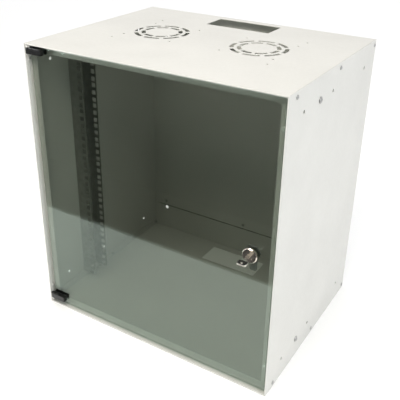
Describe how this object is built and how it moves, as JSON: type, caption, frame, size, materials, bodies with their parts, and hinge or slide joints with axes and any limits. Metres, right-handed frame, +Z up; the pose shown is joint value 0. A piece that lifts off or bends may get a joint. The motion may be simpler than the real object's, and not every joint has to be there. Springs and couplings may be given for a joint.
{
  "type": "rack cabinet",
  "caption": "Wall rack cabinet of folded sheet steel with a hinged glass door, a key-operated cam lock, vented top, cable entries and punched nineteen-inch rails.",
  "frame": {"origin": "middle of the base's underside", "axes": "+X to the right of someone facing the door, +Y to the back, +Z up"},
  "size_m": [0.526, 0.4305, 0.57],
  "materials": {
    "panel_paint": "warm white powder coat",
    "rail_zinc": "galvanised, dull",
    "zinc_steel": "zinc plated",
    "tinted_glass": "clear, grey-green tint",
    "clear_rubber": "translucent, soft",
    "black_rubber": "matte",
    "black_metal": "gloss black",
    "black_plastic": "gloss black",
    "chrome": "polished",
    "key_steel": "nickel plated"
  },
  "bodies": {
    "cabinet": {"top_panel": "panel_paint", "base_panel": "panel_paint", "left_side_panel": "panel_paint", "right_side_panel": "panel_paint", "rear_panel": "panel_paint", "left_rail": "rail_zinc", "right_rail": "rail_zinc", "panel_screws": "zinc_steel", "rear_screws": "zinc_steel", "rail_bolts": "zinc_steel", "rail_nuts": "zinc_steel", "door_buffers": "clear_rubber", "upper_hinge_bracket": "panel_paint", "lower_hinge_bracket": "panel_paint", "hinge_screws": "zinc_steel", "upper_hinge_pin": "black_metal", "lower_hinge_pin": "black_metal", "hinge_washer": "zinc_steel"},
    "door": {"glass_pane": "tinted_glass", "upper_hinge_clamp": "black_plastic", "lower_hinge_clamp": "black_plastic", "upper_hinge_liner": "black_rubber", "lower_hinge_liner": "black_rubber", "clamp_screws": "zinc_steel", "lock_housing": "chrome", "lock_gasket": "black_rubber", "lock_washer": "zinc_steel", "lock_nut": "zinc_steel"},
    "lock_core": {"lock_plug": "chrome", "lock_cam": "zinc_steel", "cam_screw": "zinc_steel", "key_blade": "key_steel", "key_bow": "chrome"}
  },
  "joints": [
    {"name": "door_hinge", "type": "hinge", "parent": "cabinet", "child": "door", "pos_m": [-0.2505, -0.1995, 0.285], "axis": [0, 0, -1], "range_deg": [0, 120]},
    {"name": "lock_turn", "type": "hinge", "parent": "door", "child": "lock_core", "pos_m": [0.212, -0.195, 0.285], "axis": [0, -1, 0], "range_deg": [0, 90]}
  ]
}
